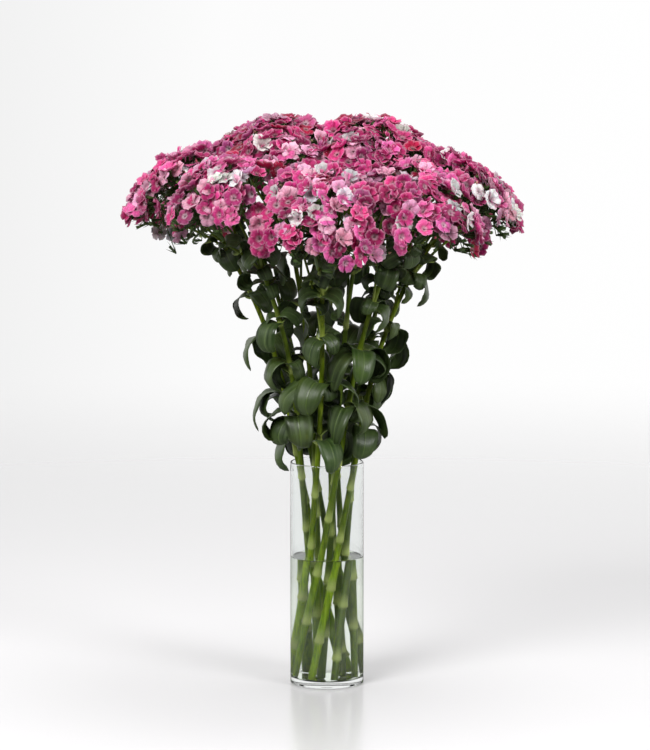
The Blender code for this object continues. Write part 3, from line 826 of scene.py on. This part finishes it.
def sweptTube(bm, layer, points, radii, values, sides):
    # a ring extruded from point to point, turned with the line and scaled to each radius
    ways = [(b - a).normalized() for a, b in zip(points, points[1:])]
    ways.append(ways[-1])
    start = aimed(points[0], ways[0])
    made = bmesh.ops.create_circle(bm, cap_ends=True, segments=sides, radius=radii[0], matrix=start)
    for vert in made["verts"]:
        vert[layer] = values[0]
    edges = [edge for edge in bm.edges if edge.is_boundary]
    for index in range(1, len(points)):
        grown = bmesh.ops.extrude_edge_only(bm, edges=edges)["geom"]
        verts = [item for item in grown if isinstance(item, bmesh.types.BMVert)]
        edges = [item for item in grown if isinstance(item, bmesh.types.BMEdge) and item.is_boundary]
        turn = ways[index - 1].rotation_difference(ways[index]).to_matrix().to_4x4()
        size = Matrix.Scale(radii[index] / radii[index - 1], 4)
        move = Matrix.Translation(points[index]) @ turn @ size @ Matrix.Translation(-points[index - 1])
        bmesh.ops.transform(bm, matrix=move, verts=verts)
        for vert in verts:
            vert[layer] = values[index]
    bmesh.ops.contextual_create(bm, geom=edges)


def tubeMesh(points, radii, values, sides):
    bm = bmesh.new()
    layer = bm.verts.layers.float.new("knot")
    sweptTube(bm, layer, points, radii, values, sides)
    bmesh.ops.recalc_face_normals(bm, faces=bm.faces[:])
    return meshFrom(bm, "tube")


def smoothSpot(route, distance):
    # a point on the route, eased over its corners
    end, ease = lineLength(route), tubeForm["ease"]
    spots = [along(route, min(max(distance + ease * step, 0.0), end))[0] for step in range(-2, 3)]
    return sum(spots, Vector()) / len(spots)


def stemTube(stem):
    length = stem["length"]
    marks = set(np.arange(0.0, length, tubeForm["step"]))
    for node in stem["nodes"]:
        marks |= {node["distance"] + step for step in knotForm["marks"]}
    kept = [0.0]
    for mark in sorted(marks):
        if mark <= length and mark - kept[-1] > tubeForm["leastStep"]:
            kept.append(mark)
    kept.append(length)
    points, radii, pale = [], [], []
    for mark in kept:
        above = [mark - node["distance"] for node in stem["nodes"]]
        ends = tubeForm["straightEnds"]
        if ends <= mark <= length - ends:
            points.append(smoothSpot(stem["route"], mark))
        else:
            points.append(along(stem["route"], mark)[0])
        radii.append(stemRadius(stem, mark) * max(1.0, *map(knotSwell, above)))
        pale.append(max(0.0, *map(knotPaleness, above)))
    return tubeMesh(points, radii, pale, stemSizes["sides"])


def branchTube(branch):
    points = curveThrough(*branch["ends"], tubeForm["branchSteps"])
    radii = list(np.linspace(stemSizes["branch"], stemSizes["tip"], len(points)))
    radii[0] *= tubeForm["branchRoot"]
    pale = [max(0.0, 1.0 - index / tubeForm["paleRings"]) for index in range(len(points))]
    return tubeMesh(points, radii, pale, stemSizes["branchSides"])


# painted shade: how far each stem is painted darker and duller, most of all the back and inner stems
# under the leaves
stemShadeAmounts = (0.05, 0.50, 0.0, 0.35, 0.10, 0.85, 0.70, 0.80, 0.50, 0.85, 0.85)


def buildStem(number, stem, skin):
    bm = bmesh.new()
    bm.verts.layers.float.new("knot")
    bm.from_mesh(stemTube(stem))
    for branch in stem["branches"]:
        bm.from_mesh(branchTube(branch))
    stemShade = bm.verts.layers.float.new("stemShade")        # painted shade: the back and inner stems are painted darker and duller
    for vert in bm.verts:
        vert[stemShade] = stemShadeAmounts[number]
    newPiece(f"stem_green_{number + 1:02d}", bm, skin, f"stem_{number + 1:02d}")


# Leaves

bladeForm = {
    "columns": 6, "rows": 15, "thickness": 0.0005, "wave": 0.0013, "waves": 15.0, "lineSteps": 36,
    "tipCurl": (radians(110.0), radians(330.0)), "broad": 1.05, "tipFullness": 0.38,
    "channel": radians(20.0), "crown": 0.30, "clasp": 0.0042, "smallFrom": 0.47,
    "smallTo": 0.60, "small": 0.70, "shade": (0.7, 1.35), "red": (0.9, 1.15), "blue": (0.8, 1.1),
    "seed": 900,
}

curlForm = {             # thread-like bracts under the flowers
    "columns": 2, "rows": 12, "round": 9, "length": (0.026, 0.050), "width": (0.0026, 0.0064),
    "rise": (20.0, 80.0), "bend": (20.0, 120.0), "curl": (50.0, 520.0), "twist": (-60.0, 60.0),
    "below": (-0.006, 0.022), "swing": 0.5, "shade": (0.9, 2.6), "tint": (1.0, 1.1, 0.7),
}


def bladePoint(leaf, t, s):
    # as leafPoint, with a channelled base, a crowned and wavy blade and a rounder tip
    half = halfWidth(leaf, t, leafSizes["fullness"] if t < 0.5 else bladeForm["tipFullness"])
    half = half * bladeForm["broad"] + leaf["clasp"] * (1.0 - t) ** 10
    channel = abs(s) * tan(bladeForm["channel"]) * (1 - t) ** 2
    lift = half * (channel - bladeForm["crown"] * s * s * t)
    wave = sin(t * bladeForm["waves"] + leaf["phase"] + s)
    lift += leaf["wave"] * wave * s * s * sin(pi * t)
    return onLeaf(leaf, t, s * half, lift)


def bladeMesh(leaf, columns, rows, shade):
    bm, uv, layer = newSheet("blade")
    for vert, (s, t) in gridPlaces(bm, uv, columns, rows).items():
        vert.co = bladePoint(leaf, t, s)
        vert[layer] = (*shade, 1.0)
    bmesh.ops.remove_doubles(bm, verts=bm.verts[:], dist=0.00002)
    bmesh.ops.recalc_face_normals(bm, faces=bm.faces[:])
    return meshFrom(bm, "blade")


def leafMesh(leaf, draw):
    shade = draw.uniform(*bladeForm["shade"])
    fine = dict(leaf, wave=bladeForm["wave"], phase=draw.uniform(0.0, tau))
    low, high = bladeForm["smallFrom"], bladeForm["smallTo"]
    share = min(1.0, max(0.0, (leaf["base"].z - low) / (high - low)))
    fine["length"] *= 1.0 - (1.0 - bladeForm["small"]) * share
    fine["clasp"] = bladeForm["clasp"]
    fine["curl"] = leaf["curl"] + draw.uniform(*bladeForm["tipCurl"])
    fine["line"] = leafLine(fine, bladeForm["lineSteps"])
    red, blue = draw.uniform(*bladeForm["red"]), draw.uniform(*bladeForm["blue"])
    colour = (shade * red, shade, shade * blue)
    return bladeMesh(fine, bladeForm["columns"], bladeForm["rows"], colour)


def curlMesh(spray, below, turn, draw):
    # one narrow bract that curls out from under a spray of flowers
    way = spray["facing"]
    out = Matrix.Rotation(turn, 3, way) @ way.orthogonal().normalized()
    leaf = {
        "base": spray["end"] - way * below, "out": out, "side": way.cross(out), "up": way,
        "length": draw.uniform(*curlForm["length"]), "width": draw.uniform(*curlForm["width"]),
        "wave": 0.0, "phase": 0.0, "clasp": 0.0, **drawnAngles(curlForm, draw),
    }
    leaf["line"] = leafLine(leaf, bladeForm["lineSteps"])
    shade = draw.uniform(*curlForm["shade"])
    colour = tuple(shade * part for part in curlForm["tint"])
    return bladeMesh(leaf, curlForm["columns"], curlForm["rows"], colour)


def buildLeaves(number, stem, head, blade):
    draw = random.Random(bladeForm["seed"] + number)
    bm = newSheet("blade")[0]
    for leaf in stem["leaves"]:
        bm.from_mesh(leafMesh(leaf, draw))
    for spray in head["sprays"]:
        phase = draw.uniform(0.0, tau)
        for turn in turnsRound(curlForm["round"], curlForm["swing"], draw, phase):
            bm.from_mesh(curlMesh(spray, draw.uniform(*curlForm["below"]), turn, draw))
    piece = newPiece(f"leaves_{number + 1:02d}", bm, blade, f"stem_{number + 1:02d}")
    thicken(piece, bladeForm["thickness"])


# Florets

floretForm = {
    "petals": 5, "columns": 6, "rows": 2, "throat": 0.0006, "reach": 0.0122, "fan": 45.0,
    "fanShares": (0.55, 0.45), "fanEase": 0.7, "lobe": (0.08, 0.26), "overlap": 0.0011, "kinds": 8,
    "thickness": 0.00026, "bendAt": 0.42, "cup": (0.0024, 0.0012), "droop": (-0.0020, 0.0062),
    "droopSwing": 0.0011, "wave": (0.0008, 0.0019), "waves": 4.2, "phase": 1.5,
    "teeth": 0.0013, "tooth": (0.5, 1.5), "sizes": (0.92, 1.05), "turnSwing": 0.08, "seed": 40,
    "stamens": 3, "stamenLength": 0.0042, "stamenRadius": 0.00026, "stamenFoot": -0.0026,
    "stamenLean": 0.35, "stamenSwing": 0.4, "faintThroat": 0.25,
}


def petalPoint(u, t, form, tooth):
    # u runs across the petal from -1 to 1, t from the throat to the edge
    narrow, opened = floretForm["fanShares"]
    share = narrow + opened * sin(pi / 2 * t ** floretForm["fanEase"])
    angle = u * (radians(floretForm["fan"]) * share)
    flat, sharp = floretForm["lobe"]
    lobe = 1.0 - (flat * u * u + sharp * u ** 4) * t
    reach = floretForm["throat"] + floretForm["reach"] * t * lobe + tooth * t
    height = -form["cup"] * (1.0 - t) ** 2 + form["droop"] * t * t
    height += form["wave"] * cos(floretForm["waves"] * u + form["phase"]) * t * t
    height += floretForm["overlap"] * u * t
    return Vector((reach * sin(angle), reach * cos(angle), height))


def petalMesh(index, openness, draw):
    bm, uv, _ = newSheet("petal")
    places = gridPlaces(bm, uv, floretForm["columns"], floretForm["rows"], index, floretForm["bendAt"])
    cup, cupMore = floretForm["cup"]
    droop, droopMore = floretForm["droop"]
    form = {
        "cup": cup + cupMore * openness,
        "droop": droop + droopMore * openness + swung(draw, floretForm["droopSwing"]),
        "wave": draw.uniform(*floretForm["wave"]),
        "phase": swung(draw, floretForm["phase"]),
    }
    size = draw.uniform(*floretForm["sizes"])
    swing = swung(draw, floretForm["turnSwing"])
    turn = Matrix.Rotation(tau * index / floretForm["petals"] + swing, 3, "Z")
    for vert, (u, t) in places.items():
        tooth = 0.0
        if t > 0.99:
            column = round((u + 1) / 2 * floretForm["columns"])
            tooth = floretForm["teeth"] * (0.5 if column % 2 else -0.5)
            tooth *= draw.uniform(*floretForm["tooth"])
        vert.co = turn @ (petalPoint(u, t, form, tooth) * size)
    return meshFrom(bm, "petal")


def cone(bm, place, length, radii, sides):
    # a closed cone with its middle at the place, and its vertices
    return bmesh.ops.create_cone(
        bm, cap_ends=True, segments=sides, radius1=radii[0], radius2=radii[1], depth=length,
        matrix=place,
    )["verts"]


def spike(bm, base, way, length, radius, sides=3):
    place = aimed(base + way.normalized() * (length / 2), way)
    return cone(bm, place, length, (radius, radius * 0.1), sides)


def stamenMesh(draw):
    bm, uv, _ = newSheet("petal")
    lean, foot = floretForm["stamenLean"], Vector((0, 0, floretForm["stamenFoot"]))
    for turn in turnsRound(floretForm["stamens"], floretForm["stamenSwing"], draw):
        way = Vector((lean * cos(turn), lean * sin(turn), 1.0))
        spike(bm, foot, way, floretForm["stamenLength"], floretForm["stamenRadius"])
    for face in bm.faces:
        for loop in face.loops:
            loop[uv].uv = (0.5, 0.18)        # takes the eye's colour
    return meshFrom(bm, "stamens")


def floretMesh(kind):
    draw = random.Random(floretForm["seed"] + kind)
    bm = newSheet("petal")[0]
    openness = (kind % 4) / 3        # from flat to cupped florets
    for index in range(floretForm["petals"]):
        bm.from_mesh(petalMesh(index, openness, draw))
    throat = bm.verts.layers.float.new("throat")
    for vert in bm.verts:
        vert[throat] = 1.0 if kind % 2 else floretForm["faintThroat"]
    bm.from_mesh(stamenMesh(draw))
    return meshFrom(bm, "floret")


calyxForm = {
    "top": -0.0034, "length": 0.0130, "radius": 0.0021, "base": 0.0013, "sides": 6,
    "stalk": 0.00065, "stalkSides": 4, "stalkFoot": 1.2, "bracts": 4, "bractSwing": 0.3,
    "bractLength": (0.012, 0.019), "bractRadius": 0.0010, "bractLean": (0.20, 0.55),
    "green": (0.060, 0.110, 0.022, 1.0), "kinds": 4, "shade": (0.7, 1.3), "seed": 70,
    "budTip": 0.0050, "budSunk": 0.0004, "budRadius": 0.95,
}

tipColours = ((0.620, 0.120, 0.200, 1.0), (0.700, 0.420, 0.300, 1.0), (0.640, 0.560, 0.330, 1.0))


def calyxMesh(kind, bud):
    # the green tube behind the petals with its pointed bracts; a bud adds its closed tip
    form = calyxForm
    draw = random.Random(form["seed"] + kind)
    bm = bmesh.new()
    layer = bm.verts.layers.float_color.new("tint")
    place = Matrix.Translation((0, 0, form["top"] - form["length"] / 2))
    cone(bm, place, form["length"], (form["base"], form["radius"]), form["sides"])
    base = Vector((0, 0, form["top"] - form["length"]))
    phase = draw.uniform(0.0, tau)
    for turn in turnsRound(form["bracts"], form["bractSwing"], draw, phase):
        lean = draw.uniform(*form["bractLean"])
        way = Vector((lean * cos(turn), lean * sin(turn), 1.0))
        spike(bm, base, way, draw.uniform(*form["bractLength"]), form["bractRadius"])
    for vert in bm.verts:
        vert[layer] = form["green"]
    if bud:
        foot = Vector((0, 0, form["top"] - form["budSunk"]))
        radius = form["radius"] * form["budRadius"]
        for vert in spike(bm, foot, Vector((0, 0, 1)), form["budTip"], radius, form["sides"]):
            vert[layer] = tipColours[kind % len(tipColours)]
    return meshFrom(bm, "calyx")


bloom = {
    "count": 1750, "edge": radians(60.0), "swing": 0.05, "sizes": (0.90, 1.13), "drop": 0.011,
    "facingOut": 0.5, "tilt": 0.24, "edgeNoise": 0.9, "headSag": 0.027, "rimSag": 0.30,
    "headSpread": radians(17.0), "shell": 0.985, "proud": 0.008, "gap": radians(1.9),
    "across": (0.2780, 0.2640, 0.2575), "fringe": 1.3, "fringeDrop": (0.010, 0.022),
    "gapDrop": (0.008, 0.024), "budChance": 0.13, "gapBuds": 0.3, "budDrop": (0.001, 0.008),
    "awayMost": 1.6, "sagMost": 1.1, "rimGaps": 2, "shade": (0.50, 1.22), "hue": (0.92, 1.08),
    "seed": 2024,
}

headSinks = (0.0, 0.0, 0.0, 0.005, 0.009, 0.006, 0.0, 0.0, 0.000, 0.003, 0.014)   # metres lower

lowerEdge = (            # degrees round the glass, and how far down from the top the flowers reach
    (0.0, 52.0), (40.0, 56.0), (90.0, 60.0), (140.0, 56.0), (180.0, 51.5), (200.0, 48.5),
    (244.0, 49.5), (260.0, 54.5), (280.0, 56.5), (291.0, 52.0), (325.0, 51.5), (345.0, 50.0),
    (360.0, 52.0),
)

headMixesWithShade = (            # how much more often a head has pink, rose, pale, magenta, crimson, cream; the back and top heads, the last six rows, lean to magenta and crimson as painted shade
    (1.0, 1.2, 1.0, 0.7, 0.5, 0.9),
    (0.8, 1.1, 1.5, 0.7, 0.5, 1.1),
    (1.0, 1.1, 1.3, 0.6, 0.6, 0.9),
    (1.1, 1.1, 1.0, 0.7, 0.9, 1.0),
    (0.9, 1.2, 1.1, 1.0, 0.4, 0.8),
    (1.0, 1.0, 0.6, 1.5, 1.0, 0.5),
    (1.0, 0.8, 0.5, 1.8, 1.3, 0.6),
    (1.0, 0.9, 0.5, 1.5, 1.6, 0.6),
    (1.1, 0.8, 0.4, 2.4, 2.2, 1.1),
    (1.3, 0.9, 0.5, 2.0, 1.4, 1.3),
    (1.0, 0.7, 0.3, 2.6, 1.6, 0.8),
)


def pickTint(number, draw):
    names = list(petalColours)
    # the back and top heads draw more dark florets: painted shade
    weights = [petalColours[name][1] * mood for name, mood in zip(names, headMixesWithShade[number])]
    colour, _, eye = petalColours[draw.choices(names, weights)[0]]
    shade = draw.uniform(*bloom["shade"])
    return (*(min(1.0, part * shade * draw.uniform(*bloom["hue"])) for part in colour), eye)


def headAngles(number, towards, heads):
    # the angle from the head's own middle, and how much nearer it is than the next head
    angles = [head["sprays"][0]["facing"].angle(towards) for head in heads]
    own = angles.pop(number)
    return own, min(angles) - own


def edgeAt(azimuth):
    turns, polars = zip(*lowerEdge)
    return float(np.interp(degrees(azimuth) % 360.0, turns, polars))


def bloomReach(number, spray, towards, own, margin, drop):
    # how far from the dome's middle a floret stands, between the head's own hump and its sag
    away = min(bloom["awayMost"], spray["facing"].angle(towards) / spraySizes["spread"])
    reach = (dome["radius"] + spray["lift"]) * bloom["shell"] + bloom["proud"] - drop
    reach -= headSinks[number] + spraySizes["sag"] * away ** 2
    lower = towards.z < heads[number]["sprays"][0]["facing"].z and number < outerHeads
    rim = lower and margin > bloom["gap"] * bloom["rimGaps"]
    share = min(bloom["sagMost"], own / bloom["headSpread"])
    reach -= bloom["headSag"] * (bloom["rimSag"] if rim else 1.0) * share ** 2
    left, right, deep = bloom["across"]      # the flowers stay inside the solids' width
    wide = left if towards.x < 0.0 else right
    return min(reach, wide / max(abs(towards.x), 0.01), deep / max(abs(towards.y), 0.01))


def placeBlooms(heads):
    draw = random.Random(bloom["seed"])
    for index in range(bloom["count"]):
        towards = spiralWay(index, bloom["count"], swung(draw, bloom["swing"]), bloom["edge"])
        number, spray = nearestSpray(heads, towards)
        own, margin = headAngles(number, towards, heads)
        drop = draw.uniform(0.0, 1.0) ** 2 * bloom["drop"]
        recessed = margin < bloom["gap"] and number < outerHeads
        new = {
            "bud": draw.random() < (bloom["gapBuds"] if recessed else bloom["budChance"]),
            "tint": pickTint(number, draw),
            "size": draw.uniform(*bloom["sizes"]),
            "spin": draw.uniform(0.0, tau),
            "kind": draw.randrange(floretForm["kinds"]),
            "shade": draw.uniform(*calyxForm["shade"]),
        }
        tilt = Vector([draw.gauss(0.0, bloom["tilt"]) for _ in range(3)])
        drop += draw.uniform(*(bloom["gapDrop"] if recessed else (0.0, 0.0)))
        drop += draw.uniform(*bloom["budDrop"]) if new["bud"] else 0.0
        down = degrees(acos(towards.z)) + draw.gauss(0.0, bloom["edgeNoise"])
        past = down - edgeAt(atan2(towards.y, towards.x))
        if past > bloom["fringe"]:
            continue
        new["green"] = past > 0.0        # under the lowest flowers hang green cups only
        if new["green"]:
            drop += draw.uniform(*bloom["fringeDrop"])
        reach = bloomReach(number, spray, towards, own, margin, drop)
        new["heart"] = spray["end"] + spray["facing"] * spraySizes["heart"]
        new["middle"] = dome["middle"] + towards * reach
        way = (new["middle"] - new["heart"]).normalized()
        new["facing"] = (way.lerp(towards, bloom["facingOut"]) + tilt).normalized()
        heads[number]["blooms"].append(new)


def shaded(template, shade):
    # the template's own colours, lighter or darker
    values = np.empty(len(template.vertices) * 4)
    template.attributes["tint"].data.foreach_get("color", values)
    return list(values * shade)


def buildHead(number, head, petals, greens):
    bm = newSheet("petal")[0]
    bm.verts.layers.float.new("throat")
    green = bmesh.new()
    layer = green.verts.layers.float_color.new("tint")
    radii = (calyxForm["stalk"] * calyxForm["stalkFoot"], calyxForm["stalk"])
    for new in head["blooms"]:
        place = aimed(new["middle"], new["facing"])
        place = place @ Matrix.Rotation(new["spin"], 4, "Z") @ Matrix.Scale(new["size"], 4)
        if not (new["bud"] or new["green"]):
            floret = florets[new["kind"]]
            stamp(bm, floret, place, new["tint"] * len(floret.vertices))
        closed = new["bud"] and not new["green"]
        cup = (buds if closed else calyces)[new["kind"] % calyxForm["kinds"]]
        stamp(green, cup, place, shaded(cup, new["shade"]))
        base = place @ Vector((0, 0, calyxForm["top"] - calyxForm["length"]))
        way = base - new["heart"]
        place = aimed((new["heart"] + base) / 2, way)
        for vert in cone(green, place, way.length, radii, calyxForm["stalkSides"]):
            vert[layer] = calyxForm["green"]
    node = f"head_{number + 1:02d}"
    petalPiece = newPiece(f"petals_{number + 1:02d}", bm, petals, node)
    thicken(petalPiece, floretForm["thickness"])
    newPiece(f"calyces_{number + 1:02d}", green, greens, node)


# Floor, light and camera

studio = {
    "backdrop": (0.88, 0.975, 1.0), "fadeRound": (0.5, 3.6), "fadeFront": (-0.40, -0.52),
    "floorSize": 4.0, "floorSides": 64, "floorColour": (0.76, 0.75, 0.76, 1.0),
    "mirroredColour": (0.16, 0.17, 0.14, 1.0), "viewWidth": 0.115, "aim": (0, 0, 0.5),
}

lens = {                 # the photo's view: its height in pixels and the focal length in pixels
    "spot": (-0.0027, -4.0, 0.9), "downBy": radians(6.80), "focal": 2975.0, "imageHeight": 750.0,
    "sensor": 36.0, "near": 0.1, "far": 100.0,
}


def buildFloor():
    bm = bmesh.new()
    bmesh.ops.create_circle(
        bm, cap_ends=True, cap_tris=True, segments=studio["floorSides"], radius=studio["floorSize"])
    mesh = meshFrom(bm, "floor")
    mesh.materials.append(floorMaterial())
    addObject("floor", mesh)


def areaLight(name, spot, size, power):
    light = bpy.data.lights.new(name, "AREA")
    light.shape = "DISK"
    light.size = size
    light.energy = power
    made = addObject(name, light)
    made.location = spot
    way = Vector(studio["aim"]) - Vector(spot)
    made.rotation_euler = way.to_track_quat("-Z", "Y").to_euler()
    made.visible_camera = False


def lightStudio():
    # the world is bright behind and beside the flowers and dim in front, as in a studio
    world = bpy.data.worlds.new("studio")
    bpy.context.scene.world = world
    world.use_nodes = True
    tree = world.node_tree
    split = after(addNode(tree, "TexCoord"), "SeparateXYZ", "Generated")
    depth = rescaled(split, "Y", (-1.0, 1.0))
    around = ramp(depth, ((0.0, 0.10), (0.38, 0.14), (0.52, 0.60), (0.66, 0.97)))
    sideways = rescaled(split, "X", (-studio["viewWidth"], studio["viewWidth"]))
    # the backdrop seen straight on is painted darker at the left: painted shade
    left, middle, right = studio["backdrop"]
    backdrop = ramp(sideways, ((0.0, left), (0.35, middle), (1.0, right)))
    seen = blend(addNode(tree, "LightPath"), around, backdrop, "Is Camera Ray")
    wire(seen, tree.nodes["Background"], "Color")
    areaLight("key", (-1.7, -2.4, 2.5), 1.9, 108.0)
    areaLight("fill", (2.1, -2.0, 1.5), 1.3, 46.0)
    areaLight("top", (0.3, 0.2, 2.8), 1.2, 16.0)
    bpy.context.scene.view_settings.view_transform = "Standard"


def placeCamera():
    data = bpy.data.cameras.new("camera")
    data.sensor_fit = "VERTICAL"
    data.sensor_height = lens["sensor"]
    data.lens = lens["sensor"] * lens["focal"] / lens["imageHeight"]
    data.clip_start = lens["near"]
    data.clip_end = lens["far"]
    camera = addObject("camera", data)
    camera.location = lens["spot"]
    camera.rotation_euler = (pi / 2 - lens["downBy"], 0.0, 0.0)
    bpy.context.scene.camera = camera


buildFloor()
lightStudio()
placeCamera()
print("studio ready")

buildVase(glassMaterial())
buildWater(waterMaterial())
print("vase and water built")

skin = stemMaterial()
blade = leafMaterial()
for number, stem in enumerate(stems):
    buildStem(number, stem, skin)
    buildLeaves(number, stem, heads[number], blade)
print("stems and leaves built")

placeBlooms(heads)
florets = [floretMesh(kind) for kind in range(floretForm["kinds"])]
calyces = [calyxMesh(kind, False) for kind in range(calyxForm["kinds"])]
buds = [calyxMesh(kind, True) for kind in range(calyxForm["kinds"])]
petals = petalMaterial()
greens = calyxMaterial()
for number, head in enumerate(heads):
    buildHead(number, head, petals, greens)
print("heads built:", sum(len(head["blooms"]) for head in heads), "florets and buds")
